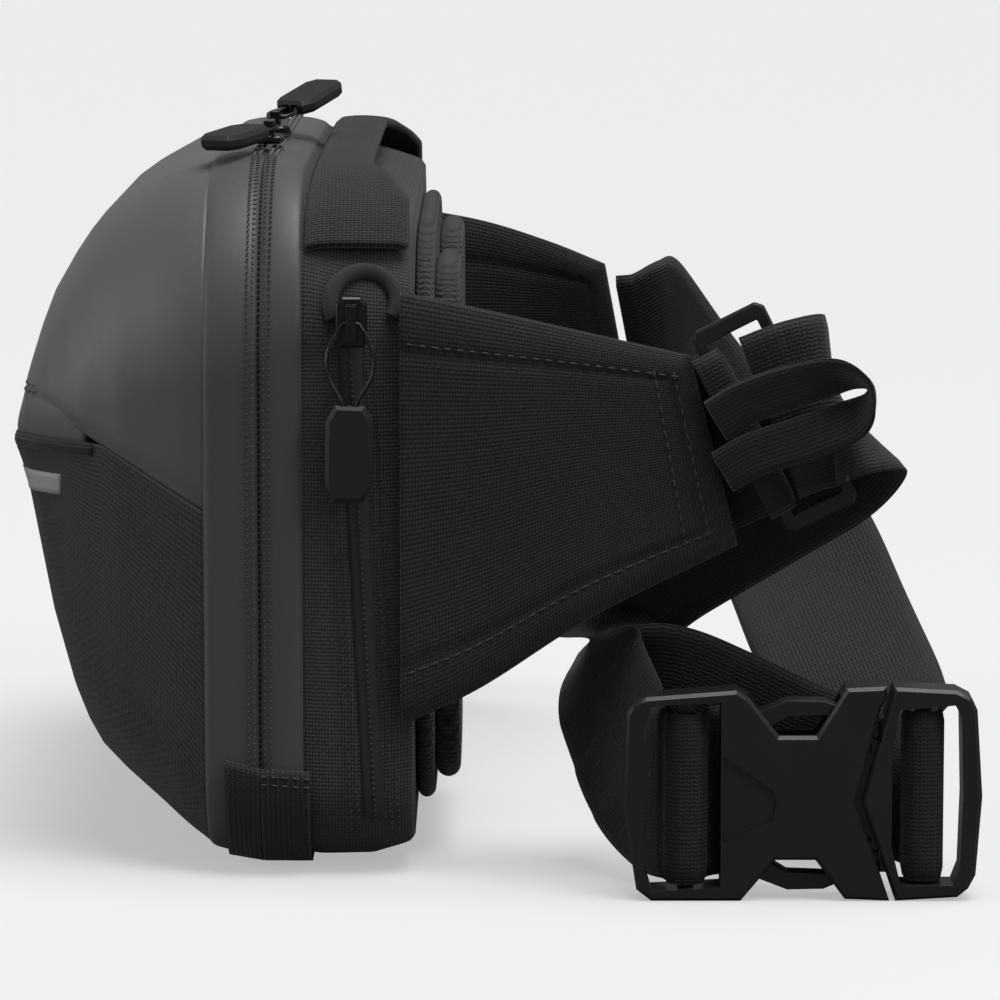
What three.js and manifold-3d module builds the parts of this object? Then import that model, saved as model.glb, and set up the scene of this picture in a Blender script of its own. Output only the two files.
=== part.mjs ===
// A hip pack with a two-sided waist belt: a clamshell bag, padded wings, webbing and a side-release buckle.
// Millimetres. +X is the wearer's left, -Y the bag's front, +Z up. The origin is on the floor, under the bag.
import * as THREE from "three";
import { mergeVertices } from "three/addons/utils/BufferGeometryUtils.js";
import Module from "manifold-3d";

const wasm = await Module();
wasm.setup();

// Driving dimensions.
const GAP = 0.35; // clearance between pieces that touch
const WALL = 3; // laminated fabric and foam wall of the bag
const SPLIT_Y = -17; // the main zip's line, where the front opens
const GUSSET_FRONT_Y = -32; // front edge of the coated gusset band
const GUSSET_BACK_Y = -5; // rear edge of that band
const BACK_Y = 26; // back wall of the bag
const FLOOR_BAND = 2; // thickness of the webbing band under the bag
const WEB_WIDTH = 50; // belt webbing
const WEB_THICK = 1.8;
const SIDE_X = 142; // half the bag's width at the gusset

// The bag's form: y, half width, underside, top, lower and upper corner radius.
const FORM = [
  [BACK_Y, 137, 6, 184, 22, 34],
  [14, 139.5, 2.6, 188, 24, 38],
  [4, 140.5, 2.5, 190.5, 24.5, 40],
  [GUSSET_BACK_Y, 141.5, 2.5, 196.5, 25, 46],
  [SPLIT_Y, SIDE_X, 2.5, 199, 26, 56],
  [GUSSET_FRONT_Y, 141, 4.5, 197.5, 28, 58],
  [-45, 134, 15, 192.5, 30, 56],
  [-57, 127, 24, 186, 31, 54],
  [-64, 121.5, 30, 181, 31, 50],
  [-68, 118.5, 36.5, 176, 30, 47],
  [-72, 115, 46, 170, 28, 42],
  [-78, 109, 67, 159.5, 24, 34],
  [-81.5, 105, 85, 150, 20, 26],
  [-85, 100, 105, 137.5, 10, 12],
  [-87, 97, 112, 128.5, 6, 6],
  [-88.4, 95, 116, 123.5, 3, 3],
];

const FRONT_END_Y = FORM[FORM.length - 1][0];

const MATERIALS = {
  cordura: new THREE.MeshStandardMaterial({ color: 0x26272a, roughness: 0.9, metalness: 0 }),
  coated: new THREE.MeshStandardMaterial({ color: 0x45464a, roughness: 0.55, metalness: 0 }),
  foam: new THREE.MeshStandardMaterial({ color: 0x2b2c2f, roughness: 0.95, metalness: 0 }),
  webbing: new THREE.MeshStandardMaterial({ color: 0x1b1b1d, roughness: 0.8, metalness: 0 }),
  plastic: new THREE.MeshStandardMaterial({ color: 0x1c1c1e, roughness: 0.45, metalness: 0 }),
  metal: new THREE.MeshStandardMaterial({ color: 0x1a1a1c, roughness: 0.3, metalness: 0.8 }),
  rubber: new THREE.MeshStandardMaterial({ color: 0x232325, roughness: 0.7, metalness: 0 }),
  cord: new THREE.MeshStandardMaterial({ color: 0x101011, roughness: 0.5, metalness: 0 }),
  reflective: new THREE.MeshStandardMaterial({ color: 0x77787a, roughness: 0.5, metalness: 0.1 }),
};

const root = new THREE.Group();

function add(name, geometry, material, parent = root) {
  const mesh = new THREE.Mesh(geometry, MATERIALS[material]);
  mesh.name = name;
  parent.add(mesh);
  return mesh;
}

// Solids and geometries.
function solidOf(geometry) {
  const bare = geometry.index ? geometry.clone() : geometry;
  for (const extra of ["normal", "uv"]) bare.deleteAttribute(extra);
  const merged = mergeVertices(bare, 1e-4);
  return new wasm.Manifold(
    new wasm.Mesh({
      numProp: 3,
      vertProperties: merged.attributes.position.array,
      triVerts: new Uint32Array(merged.index.array),
    }),
  );
}

function geometryOf(solid) {
  const mesh = solid.getMesh();
  const geometry = new THREE.BufferGeometry();
  geometry.setAttribute("position", new THREE.BufferAttribute(new Float32Array(mesh.vertProperties), 3));
  geometry.setIndex(new THREE.BufferAttribute(new Uint32Array(mesh.triVerts), 1));
  return geometry;
}

const cut = (a, ...others) => geometryOf(others.reduce((s, g) => s.subtract(solidOf(g)), solidOf(a)));
const join = (a, ...others) => geometryOf(others.reduce((s, g) => s.add(solidOf(g)), solidOf(a)));
const common = (a, b) => geometryOf(solidOf(a).intersect(solidOf(b)));

function box(x, y, z, at) {
  return new THREE.BoxGeometry(x, y, z).translate(...at);
}

// A closed skin through loops that all hold the same number of points, with flat ends.
function loft(loops) {
  const count = loops[0].length;
  const points = loops.flat();
  const index = [];
  for (let i = 0; i + 1 < loops.length; i++)
    for (let j = 0; j < count; j++) {
      const a = i * count + j;
      const b = i * count + ((j + 1) % count);
      index.push(a, b, b + count, a, b + count, a + count);
    }
  for (const [first, forward] of [[0, false], [(loops.length - 1) * count, true]]) {
    const middle = new THREE.Vector3();
    for (let j = 0; j < count; j++) middle.addScaledVector(points[first + j], 1 / count);
    points.push(middle);
    for (let j = 0; j < count; j++) {
      const edge = [first + j, first + ((j + 1) % count)];
      index.push(points.length - 1, ...(forward ? edge : edge.reverse()));
    }
  }
  return outward(points, index);
}

// Geometry of points and triangles, turned round if its faces point inwards.
function outward(points, index) {
  let volume = 0;
  for (let i = 0; i < index.length; i += 3)
    volume += points[index[i]].dot(new THREE.Vector3().crossVectors(points[index[i + 1]], points[index[i + 2]]));
  if (volume < 0) for (let i = 0; i < index.length; i += 3) index.splice(i, 2, index[i + 1], index[i]);
  const geometry = new THREE.BufferGeometry().setFromPoints(points);
  geometry.setIndex(index);
  return geometry;
}

// The bag's section at y, drawn in by inset, with its top raised to a height if one is given.
function bagLoop(y, inset = 0, raisedTo = 0, perCorner = 6) {
  const next = FORM.findIndex((row, i) => i > 0 && row[0] <= y + 1e-6);
  const [a, b] = [FORM[next - 1], FORM[next]];
  const t = (a[0] - y) / (a[0] - b[0]);
  const [half, low, high, lowRadius, highRadius] = a.slice(1).map((v, i) => v + (b[i + 1] - v) * t);
  const lift = Math.max(raisedTo - high, 0);
  const corners = [
    [1, low + inset, 1, lowRadius, -90],
    [1, high - inset + lift, -1, highRadius + lift, 0],
    [-1, high - inset + lift, -1, highRadius + lift, 90],
    [-1, low + inset, 1, lowRadius, 180],
  ];
  return corners.flatMap(([side, edge, inwards, radius, start]) => {
    const r = Math.max(radius - inset, 1);
    return Array.from({ length: perCorner }, (_, k) => {
      const angle = THREE.MathUtils.degToRad(start + (90 * k) / (perCorner - 1));
      const x = side * (half - inset - r) + r * Math.cos(angle);
      return new THREE.Vector3(x, y, edge + inwards * r + r * Math.sin(angle));
    });
  });
}

// The bag's form between two stations, drawn in by inset.
function bagForm(fromY, toY, inset = 0, raisedTo = 0) {
  const inner = FORM.map((row) => row[0]).filter((y) => y < fromY - 0.5 && y > toY + 0.5);
  const loops = [fromY, ...inner, toY].map((y) => bagLoop(y, inset, raisedTo));
  if (toY <= FRONT_END_Y) loops.push(bagLoop(toY, inset, raisedTo).map((p) => p.setY(toY + Math.min(inset, -0.01))));
  return loft(loops);
}

// A fabric skin over the bag's form, from one stand-off to another, kept where it meets a region.
function skinOver(region, fromY, toY, near, far) {
  const outer = bagForm(fromY, toY, -far);
  const inner = bagForm(Math.min(fromY + 0.01, BACK_Y), toY, -near);
  return common(cut(outer, inner), region);
}

// A curved slab between two edges, each a list of points, with the thickness across it.
function slab(lower, upper, thickness, rows = 4) {
  const steps = lower.length;
  const loops = lower.map((low, i) => {
    const high = upper[i];
    const [before, after] = [Math.max(i - 1, 0), Math.min(i + 1, steps - 1)];
    const middle = (k) => lower[k].clone().add(upper[k]).multiplyScalar(0.5);
    const along = middle(after).sub(middle(before)).normalize();
    const up = high.clone().sub(low).normalize();
    const across = new THREE.Vector3().crossVectors(along, up).normalize().multiplyScalar(thickness / 2);
    const face = (sign) =>
      Array.from({ length: rows + 1 }, (_, k) => low.clone().lerp(high, k / rows).addScaledVector(across, sign));
    return [...face(1), ...face(-1).reverse()];
  });
  return loft(loops);
}

// Webbing along a route. Each stop is x, y, z and the direction of the webbing's width.
function webbing(stops, steps, width = WEB_WIDTH, thickness = WEB_THICK) {
  const curve = new THREE.CatmullRomCurve3(stops.map((s) => new THREE.Vector3(...s.slice(0, 3))), false, "centripetal");
  const lean = new THREE.CatmullRomCurve3(stops.map((s) => new THREE.Vector3(...s.slice(3))), false, "centripetal");
  const lower = [];
  const upper = [];
  for (let i = 0; i <= steps; i++) {
    const t = i / steps;
    const tangent = curve.getTangent(t);
    const up = lean.getPoint(t);
    up.addScaledVector(tangent, -up.dot(tangent)).normalize().multiplyScalar(width / 2);
    lower.push(curve.getPoint(t).sub(up));
    upper.push(curve.getPoint(t).add(up));
  }
  return slab(lower, upper, thickness, 1);
}

// A cord along a smooth route.
function cordAlong(points, diameter, steps, sides = 8) {
  const section = new THREE.Shape();
  section.absarc(0, 0, diameter / 2, 0, 2 * Math.PI);
  const path = new THREE.CatmullRomCurve3(points.map((p) => new THREE.Vector3(...p)));
  return new THREE.ExtrudeGeometry(section, { steps, curveSegments: sides, extrudePath: path, bevelEnabled: false });
}

function plate(outline, thickness, bevel = 0) {
  const shape = new THREE.Shape(outline.map(([u, v]) => new THREE.Vector2(u, v)));
  const geometry = new THREE.ExtrudeGeometry(shape, {
    depth: thickness - 2 * bevel,
    bevelEnabled: bevel > 0,
    bevelSize: bevel,
    bevelThickness: bevel,
    bevelOffset: -bevel,
    bevelSegments: 1,
  });
  return geometry.translate(0, 0, -(thickness - 2 * bevel) / 2);
}

// A prism along X through an outline drawn in y and z.
function sidePrism(outline, fromX, toX) {
  const solid = plate(outline, Math.abs(toX - fromX)).rotateX(Math.PI / 2).rotateZ(Math.PI / 2);
  return solid.translate((fromX + toX) / 2, 0, 0);
}

// The bag: a hollow rear tub, the two halves of the coated gusset and a hollow front of two panels.
function rearTub() {
  return cut(bagForm(BACK_Y, GUSSET_BACK_Y + GAP), bagForm(BACK_Y - WALL, GUSSET_BACK_Y, WALL));
}

function gussetRing(fromY, toY) {
  const through = box(2 * SIDE_X - 2 * WALL, 200, 196, [0, 0, 103]);
  const ends = [fromY + 1, toY - 1];
  const hollow = loft(ends.map((y) => bagLoop((fromY + toY) / 2, WALL).map((p) => p.setY(y))));
  return cut(bagForm(fromY, toY), common(hollow, through));
}

// Seams on the front, as y and z: the upper panel's slanting lower edge, and the pocket's mouth.
const PANEL_SEAM = [[10, 101], [-28, 101], [-76, 128], [-89, 136], [-120, 136]];
const POCKET_MOUTH = [[10, 101], [-28, 101], [-62, 120.2], [-120, 120.2]];
function below(seam, lift) {
  return sidePrism([[-120, -20], [10, -20], ...seam.map(([y, z]) => [y, z + lift])], -200, 200);
}

function frontSkin() {
  const hollow = bagForm(GUSSET_FRONT_Y - GAP, -83, WALL);
  return cut(bagForm(GUSSET_FRONT_Y - GAP, FRONT_END_Y), hollow);
}

const skin = frontSkin();
add("rear_tub", rearTub(), "cordura");
add("gusset_rear", gussetRing(GUSSET_BACK_Y, SPLIT_Y + GAP / 2), "coated");
add("gusset_front", gussetRing(SPLIT_Y - GAP / 2, GUSSET_FRONT_Y), "coated");
add("upper_panel", cut(skin, below(PANEL_SEAM, GAP / 2)), "coated");
add("pocket_flap", cut(common(skin, below(PANEL_SEAM, -GAP / 2)), below(POCKET_MOUTH, GAP / 2),
  box(400, 60, 60, [0, -34, 110])), "coated");
add("front_pocket", common(skin, below(POCKET_MOUTH, -GAP / 2)), "cordura");

// A slice of space between two heights, over a stretch of y.
const between = (zFrom, zTo, yFrom = -120, yTo = 60) =>
  box(400, yTo - yFrom, zTo - zFrom, [0, (yFrom + yTo) / 2, (zFrom + zTo) / 2]);

// The webbing tab that wraps under the bag over both ends of the main zip. It is the bag's foot,
// and it bends between its two halves when the front opens.
const TAB_TOP_Z = 31.5;
const tabRear = skinOver(between(-5, TAB_TOP_Z), -3, SPLIT_Y + GAP / 2, GAP, 2.5);
const tabFoot = skinOver(box(200, 12, 6, [0, -2, 0]), 4, -8, GAP, 2.5);
add("base_tab_rear", join(tabRear, tabFoot), "webbing");
add("base_tab_front", skinOver(between(-5, TAB_TOP_Z), SPLIT_Y - GAP / 2, -27, GAP, 2.5), "webbing");

// The main zip's two rows of teeth, over the top and down both sides to the tab.
const zipRegion = between(TAB_TOP_Z + GAP, 260);
add("main_zip_rear", skinOver(zipRegion, SPLIT_Y + 3.2, SPLIT_Y + GAP / 2, GAP, 1.5), "coated");
add("main_zip_front", skinOver(zipRegion, SPLIT_Y - GAP / 2, SPLIT_Y - 3.2, GAP, 1.5), "coated");

// The stash pocket's zip down each side panel, with its garage at the top.
const SIDE_ZIP = { topY: 8, topZ: 160, lowY: 15, lowZ: 16, width: 6 };
function sideZip(side) {
  const { topY, topZ, lowY, lowZ, width } = SIDE_ZIP;
  const half = width / 2;
  const line = [[topY - half, topZ], [lowY - half, lowZ], [lowY + half, lowZ], [topY + half, topZ]];
  return skinOver(sidePrism(line, side * 60, side * 200), 22, -4, GAP, 1.5);
}

function zipGarage(side) {
  const arch = [];
  for (let i = 0; i <= 10; i++) {
    const angle = Math.PI * (i / 10);
    arch.push([13 + 11 * Math.cos(angle), 162.5 + 10 * Math.sin(angle)]);
  }
  const inner = arch.map(([y, z]) => [13 + (y - 13) * 0.6, 162.5 + (z - 162.5) * 0.6]).reverse();
  return skinOver(sidePrism([...arch, ...inner], side * 60, side * 200), 25, -4, GAP, 2.2);
}

const SIDES = [["left", 1], ["right", -1]];
for (const [name, side] of SIDES) {
  add(`side_zip_${name}`, sideZip(side), "coated");
  add(`zip_garage_${name}`, zipGarage(side), "cordura");
}

// The carrying handle: sewn down at both shoulders, standing clear of the top for the fingers.
const HANDLE_Z = 196; // underside of the handle's crown
function grabHandle() {
  const half = [[0, -2.4], [100, -2.4], [124, -4.4], [170, -4.4], [170, 24.5], [118, 24.5], [92, 14], [0, 14]];
  const other = half.slice(1, -1).map(([x, y]) => [-x, y]).reverse();
  const plan = new THREE.Shape([...half, ...other].map(([x, y]) => new THREE.Vector2(x, y)));
  const column = new THREE.ExtrudeGeometry(plan, { depth: 200, bevelEnabled: false }).translate(0, 0, 173.2);
  const outer = bagForm(25, -4.6, -(GAP + 2.6), HANDLE_Z);
  return common(cut(outer, bagForm(25.2, -4.8, -GAP, HANDLE_Z)), column);
}
add("grab_handle", grabHandle(), "cordura");

// The reflective strip across the front pocket, and the bound lip of that pocket.
const STRIP = { z: 107.6, height: 5.8, half: 113 };
const overFront = (half, low, high) => skinOver(box(2 * half, 60, high - low, [0, -92, (low + high) / 2]),
  -60, FRONT_END_Y, GAP, 1.3);
add("reflective_strip", overFront(STRIP.half, STRIP.z - STRIP.height / 2, STRIP.z + STRIP.height / 2), "reflective");
add("pocket_binding", overFront(118, 116.4, 119.8), "cordura");

// A rounded slab of padding behind the bag.
function padding(y0, y1, half, low, high, radius, bevel) {
  const shape = new THREE.Shape();
  shape.moveTo(-half + radius, low);
  for (const [sx, z, start] of [[1, low + radius, -0.5], [1, high - radius, 0], [-1, high - radius, 0.5],
    [-1, low + radius, 1]]) {
    shape.absarc(sx * (half - radius), z, radius, start * Math.PI, (start + 0.5) * Math.PI);
  }
  return new THREE.ExtrudeGeometry(shape, {
    depth: y1 - y0 - 2 * bevel, curveSegments: 4, bevelEnabled: true,
    bevelSize: bevel, bevelThickness: bevel, bevelOffset: -bevel, bevelSegments: 1,
  }).translate(0, 0, -(y1 - y0) / 2 + bevel).rotateX(Math.PI / 2).translate(0, (y0 + y1) / 2, 0);
}

const PANEL_Y = BACK_Y + GAP;
const PAD_Y = PANEL_Y + 5 + GAP;
add("back_panel", padding(PANEL_Y, PANEL_Y + 5, 122, 9, 178, 26, 1.5), "cordura");
for (const [name, side] of SIDES) {
  add(`back_pad_${name}`, padding(PAD_Y, PAD_Y + 7, 51, 18, 168, 20, 2.5).translate(side * 60, 0, 0), "foam");
}
add("frame_sheet", box(230, 1.5, 146, [0, BACK_Y - WALL - GAP - 0.75, 97]), "plastic");
add("padded_divider", box(4, 18, 150, [-35, 10, 92]), "foam");

// The belt: padded wings, webbing stubs and the near adjuster.
const at = (rows) => rows.map((row) => new THREE.Vector3(...row));
const WING_THICK = 5;

// Each wing as lower and upper edges, from the bag to its end.
const LEFT_WING = {
  lower: [[141, 22.5, 43.5], [143.5, 43.9, 54.3], [147.5, 74.9, 74.9], [151.5, 115.6, 96.2]],
  upper: [[141, 22.5, 165.2], [143.5, 48, 160], [147.5, 75, 154.3], [151.5, 102.2, 148.6]],
};
const RIGHT_WING = {
  lower: [[-141, 22.5, 43.5], [-139.5, 43, 54.3], [-131, 70, 73], [-112, 94, 95.5]],
  upper: [[-141, 22.5, 165.2], [-139.5, 45, 161], [-131.5, 66, 155], [-116, 84, 149]],
};
const wing = ({ lower, upper }) => slab(at(lower), at(upper), WING_THICK, 4);
add("wing_left", wing(LEFT_WING), "cordura");
add("wing_right", wing(RIGHT_WING), "cordura");

const STRAP_WIDTH = 47.5; // the webbing as it lies, a little gathered by the buckle's slots

// The near adjuster is a plastic loop, held to the wing by a folded stub of webbing.
const LOOP = { centre: [153, 125.5, 131.8], across: [0, -0.45, 0.893], along: [0, 0.893, 0.45] };
function onLoop(x, along, across = 0) {
  return [x, ...[1, 2].map((i) => LOOP.centre[i] + LOOP.along[i] * along + LOOP.across[i] * across)];
}

function adjusterLoop() {
  const outline = [[-11, -29], [-9, -31], [9, -31], [11, -29], [11, 29], [9, 31], [-9, 31], [-11, 29]];
  const frame = cut(plate(outline, 3.2, 0.6), box(15, 53, 10, [0, 0, 0]));
  const basis = new THREE.Matrix4().makeBasis(
    new THREE.Vector3(...LOOP.along), new THREE.Vector3(...LOOP.across), new THREE.Vector3(1, 0, 0));
  return frame.applyMatrix4(basis).translate(...LOOP.centre);
}
add("adjuster_loop", adjusterLoop(), "plastic");

const STUB = [
  [144.2, -29], [145, -22], [146.2, -16.5], [149, -11.5], [150.6, -7], [153, -5.6], [155.5, -7], [156.4, -9.5],
  [156.5, -13.5],
];
add("webbing_stub", webbing(STUB.map(([x, a]) => [...onLoop(x, a), ...LOOP.across]), 14, 49), "webbing");

// A finger loop of narrow webbing for pulling the strap tight.
const FINGER_LOOP = [
  [158.9, 109, 131.5, 0, -0.3, 0.95], [163.5, 117, 137, 0.1, -0.35, 0.93], [168.5, 131, 142.5, 0.2, -0.3, 0.93],
  [171, 143, 145, 0.6, -0.2, 0.75], [171.5, 150.5, 141.5, 1, 0, 0.1], [171, 147, 134.5, 0.6, 0.2, -0.75],
  [168.5, 133, 128, 0.2, 0.3, -0.93], [163.5, 119, 122.6, 0.1, 0.3, -0.93], [158.9, 111, 117.3, 0, 0.3, -0.95],
];
add("finger_loop", webbing(FINGER_LOOP, 22, 12.5, 1.6), "webbing");

// Stops of the strap from the adjuster, down round its bend and over the buckle's fixed bar.
const NEAR_STRAP = [
  [160.6, 123.5, 132.4, 0, -0.475, 0.88], [160.9, 133, 136, 0, -0.52, 0.85], [159, 141.5, 137.2, 0, -0.54, 0.84],
  [152, 144.6, 133, 0, -0.54, 0.84], [143, 139.1, 122.8, 0, -0.5, 0.87], [133, 119.8, 108.8, 0, -0.5, 0.87],
  [126.5, 103, 97.5, 0, -0.55, 0.83], [122.5, 90, 88.5, 0, -0.55, 0.83], [120.5, 80.5, 80, 0, -0.5, 0.85],
  [121.5, 76.5, 72, 0.1, -0.3, 0.9], [123, 76.3, 62.5, 0.02, 0, 0.95], [128.5, 78.2, 54, 0.05, 0.2, 0.95],
  [139, 82, 44.5, 0.15, 0.25, 0.95], [147.5, 86.5, 34.5, 0.1, 0.15, 0.97], [154, 91.2, 28, 0, 0, 1],
  [159.5, 94.8, 27.9, 0, 0, 1], [163, 95.9, 28, 0, 0, 1], [166.5, 96.3, 28, 0, 0, 1],
  [168.6, 98.6, 28, 0, 0, 1], [169, 101, 28, 0, 0, 1], [168.6, 103.4, 28, 0, 0, 1],
  [166.5, 105.7, 28, 0, 0, 1], [163, 106.1, 28, 0, 0, 1], [158, 107.2, 28, 0, 0, 1],
  [154.6, 111.5, 28, 0, 0, 1], [153.4, 119, 28, 0, 0, 1],
];
add("near_strap", webbing(NEAR_STRAP, 75, STRAP_WIDTH), "webbing");

const STRAP_TAIL = [
  [138, 89, 47, 0, 0, 1], [141.5, 96, 48.5, 0, 0.12, 1], [146, 111.2, 43, 0, 0.22, 1],
  [148.5, 131, 34, 0, 0.2, 1], [149.5, 146, 29.5, 0, 0.1, 1],
];
add("strap_tail", webbing(STRAP_TAIL, 14, STRAP_WIDTH), "webbing");

// Stops of the strap from the far wing, across behind the buckle and over its sliding half's bar.
const FAR_STRAP = [
  [-111.4, 92.4, 122.2, 0.1, -0.1, 0.98], [-104, 98, 123.5, 0, -0.15, 1], [-88, 104, 129, 0, -0.1, 1],
  [-60, 108, 132, 0, -0.1, 1], [0, 115.5, 112.7, 0, 0.3, 0.95], [38, 126, 97.5, 0, 0.6, 0.8],
  [70, 137, 82, 0, 0.84, 0.54], [98, 144, 66.5, 0.05, 0.95, 0.3], [118, 150, 53.5, 0.05, 0.95, 0.3],
  [133, 155, 42, 0, 0.75, 0.66], [143, 160, 32, 0, 0.3, 0.95], [148.5, 164, 28.9, 0, 0, 1],
  [152.6, 167.6, 28.8, 0, 0, 1],
];
const FAR_STRAP_END = [
  [153.7, 168.8, 28.8, 0, 0, 1], [156, 170.4, 28.8, 0, 0, 1], [160, 171.3, 28.8, 0, 0, 1],
  [163.5, 171.2, 28.8, 0, 0, 1], [166.5, 170.7, 28.8, 0, 0, 1], [168.6, 168.4, 28.8, 0, 0, 1],
  [169, 166, 28.8, 0, 0, 1], [168.6, 163.6, 28.8, 0, 0, 1], [166.5, 161.8, 28.8, 0, 0, 1],
  [163, 161.7, 28.8, 0, 0, 1], [158.4, 161.5, 28.8, 0, 0, 1],
];
add("far_strap", webbing(FAR_STRAP, 48, STRAP_WIDTH), "webbing");
add("far_strap_end", webbing(FAR_STRAP_END, 24, STRAP_WIDTH), "webbing");

// The side-release buckle, drawn in its own plane and stood up facing +X.
const BUCKLE = { centre: [165, 133, 29.2], thick: 12 };
function standBuckle(geometry) {
  const basis = new THREE.Matrix4().makeBasis(
    new THREE.Vector3(0, 1, 0), new THREE.Vector3(0, 0, 1), new THREE.Vector3(1, 0, 0));
  return geometry.applyMatrix4(basis).translate(...BUCKLE.centre);
}

const HOUSING = [
  [-48.4, 23], [-46.5, 26], [-42.9, 27.6], [-18.3, 29.5], [-14.8, 27.3], [-6.6, 16.9], [3.6, 16.9], [9, 25.4],
  [11.7, 30.1], [22.7, 30.6], [22.9, 27.3], [21.3, 24.6], [14.5, -1.4], [24, -29.2], [11.7, -28.7],
  [3.6, -17.8], [-7.4, -17.8], [-16.9, -29.2], [-41.5, -29.2], [-45.6, -26], [-49.2, -2.7],
];
const WEB_BAR = { width: 4.4, thick: 3.4 };

function housing() {
  const slot = plate([[-42, 25.2], [-22.5, 26.2], [-22.5, -25.4], [-41.5, -26.4], [-43.5, -20], [-43.8, 18]], 20);
  const channel = plate([[30, 27.4], [-18, 27.4], [-19.5, 20], [-19.5, -20], [-18, -27.4], [30, -27.4]], 7.6);
  const recess = plate([[-21.9, 11.4], [-8.2, 1.9], [-7.3, -2], [-8.2, -6.5], [-21.9, -13.3]], 2).translate(0, 0, 6);
  const bar = box(WEB_BAR.width, 55.5, WEB_BAR.thick, [-32, -1, 0]);
  return standBuckle(join(cut(plate(HOUSING, BUCKLE.thick, 1), slot, channel, recess), bar));
}

const FRAME = [
  [24.8, 30.4], [42, 29.5], [46, 27.4], [47.6, 24], [49.2, 0], [47.6, -22], [45.6, -25.8], [42.6, -28.2],
  [25.6, -29.2], [16.2, -1.4], [22.9, 23.6],
];
function frame() {
  const slot = plate([[26.2, 24], [41.5, 25.4], [43.3, 22], [43.9, 0], [43.3, -20], [41.5, -24.8], [27, -24.8],
    [24.4, -14], [24.4, 12]], 20);
  const bar = box(WEB_BAR.width, 52.5, WEB_BAR.thick, [33, 0, 0]);
  const tongue = plate([[26, 15], [4, 7], [-14, 4.5], [-14, -4.5], [4, -7], [26, -15]], 6.8, 0.6);
  const cheeks = plate([[18.8, 21.5], [26.2, 21.5], [26.2, -21.5], [18.8, -21.5]], 6.8);
  const slotLess = cut(join(plate(FRAME, BUCKLE.thick, 1), cheeks, tongue), slot);
  const hollow = cut(slotLess, ...[1, -1].map((s) => plate(armOutline(s, 0.4), 12)));
  return standBuckle(join(hollow, bar));
}

// One latch arm, bowed out to the housing's side window. Its root sits in the frame's cheek.
function armOutline(side, grow = 0) {
  const outer = [[21, 20.4], [14, 23], [6, 26.4], [-4, 26.6], [-12, 23.5], [-17, 17.5]];
  const inner = [[-13, 16], [-4, 21.4], [6, 21.8], [14, 17.6], [21, 15.4]];
  return [...outer.map(([u, v]) => [u - Math.sign(u + 16) * -grow, side * (v + grow)]),
    ...inner.map(([u, v]) => [u + (u > 20 ? grow : 0), side * (v - grow)])];
}
const latchArm = (side) => standBuckle(plate(armOutline(side), 6.6, 0.5));
add("buckle_housing", housing(), "plastic");
add("buckle_frame", frame(), "plastic");
add("latch_arm_upper", latchArm(1), "plastic");
add("latch_arm_lower", latchArm(-1), "plastic");

// Zip sliders, each with a loop of cord and a rubber tab.
function sliderBody() {
  const outline = [[-3.6, -7], [3.6, -7], [4.4, -2], [4.4, 5], [2.6, 7], [-2.6, 7], [-4.4, 5], [-4.4, -2]];
  const bridge = cut(box(3, 10, 4.4, [0, 0, 3.2]), box(8, 6, 3.2, [0, 0, 3]));
  return join(plate(outline, 2.4, 0.6), bridge).translate(0, 0, 1.2);
}

// The pull hangs from the bridge along -v: a teardrop of cord into a coffin-shaped tab. The cord crosses under
// the bridge's bar in a straight run, so it turns there without touching it.
const CORD = 1.4;
function pullLoop(length, wide) {
  const drop = [[6.4 * wide, -0.4 * length], [6 * wide, -0.66 * length], [2, -length]];
  const half = [[0, 0], [2.1, 0], [3, -1.2], ...drop, [1.5, -length - 3.4]].map(([u, v]) => [u, v, 0]);
  const mirrored = half.slice(1).map(([u, v, w]) => [-u, v, w]).reverse();
  return cordAlong([...mirrored, ...half], CORD, 26, 3);
}

function pullTab(length) {
  const outline = [[-4.2, 0], [4.2, 0], [6.6, -4.6], [6.6, -22.4], [4.2, -27], [-4.2, -27], [-6.6, -22.4], [-6.6, -4.6]];
  const holes = [1, -1].map((s) => box(2.2, 5.4, 2.2, [s * 1.5, -2.3, 0]));
  const raised = plate(outline.map(([u, v]) => [u, v]), 4.4, 1.3);
  return cut(raised, ...holes).translate(0, -length - 0.6, 0);
}

// Places a geometry whose u, v and face axes are given, with its origin at a point.
function place(geometry, origin, v, face) {
  const up = new THREE.Vector3(...v).normalize();
  const out = new THREE.Vector3(...face);
  out.addScaledVector(up, -out.dot(up)).normalize();
  const across = new THREE.Vector3().crossVectors(up, out);
  return geometry.applyMatrix4(new THREE.Matrix4().makeBasis(across, up, out)).translate(...origin);
}

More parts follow.
